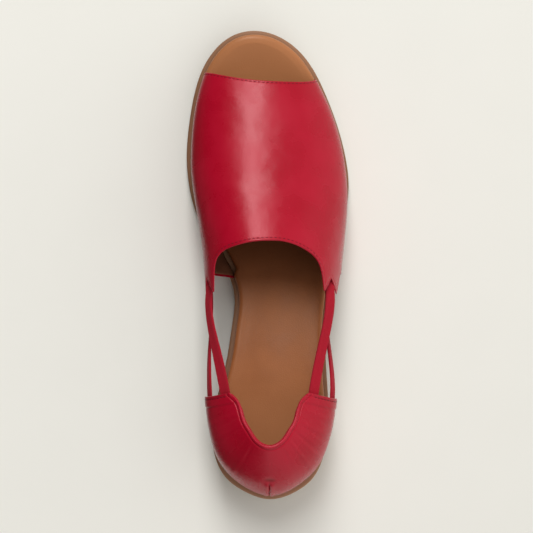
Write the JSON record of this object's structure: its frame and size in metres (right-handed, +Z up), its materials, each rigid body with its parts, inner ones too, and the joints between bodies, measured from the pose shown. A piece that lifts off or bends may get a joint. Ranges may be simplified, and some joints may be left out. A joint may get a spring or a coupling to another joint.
{
  "type": "open-toe flat shoe",
  "caption": "Flat leather shoe with an open toe, a wide vamp, elastic straps at its open sides, a closed heel counter, a padded footbed and a low moulded sole.",
  "frame": {"origin": "on the ground, under the middle of the sole's length and width", "axes": "+Y to the toe, +X to the little toe side of this right shoe, +Z up"},
  "size_m": [0.0878, 0.252, 0.0674],
  "materials": {
    "moulded_sole": "matt moulded, taupe brown",
    "tan_leather": "smooth tan leather, half matt",
    "red_leather": "smooth red leather, soft sheen",
    "red_elastic": "ribbed elastic braid, dark red"
  },
  "bodies": {
    "root": {"outsole": "moulded_sole", "insole": "tan_leather", "vamp": "red_leather", "counter": "red_leather", "strap_medial_upper": "red_elastic", "strap_medial_lower": "red_elastic", "strap_lateral_upper": "red_elastic", "strap_lateral_lower": "red_elastic"}
  },
  "joints": []
}
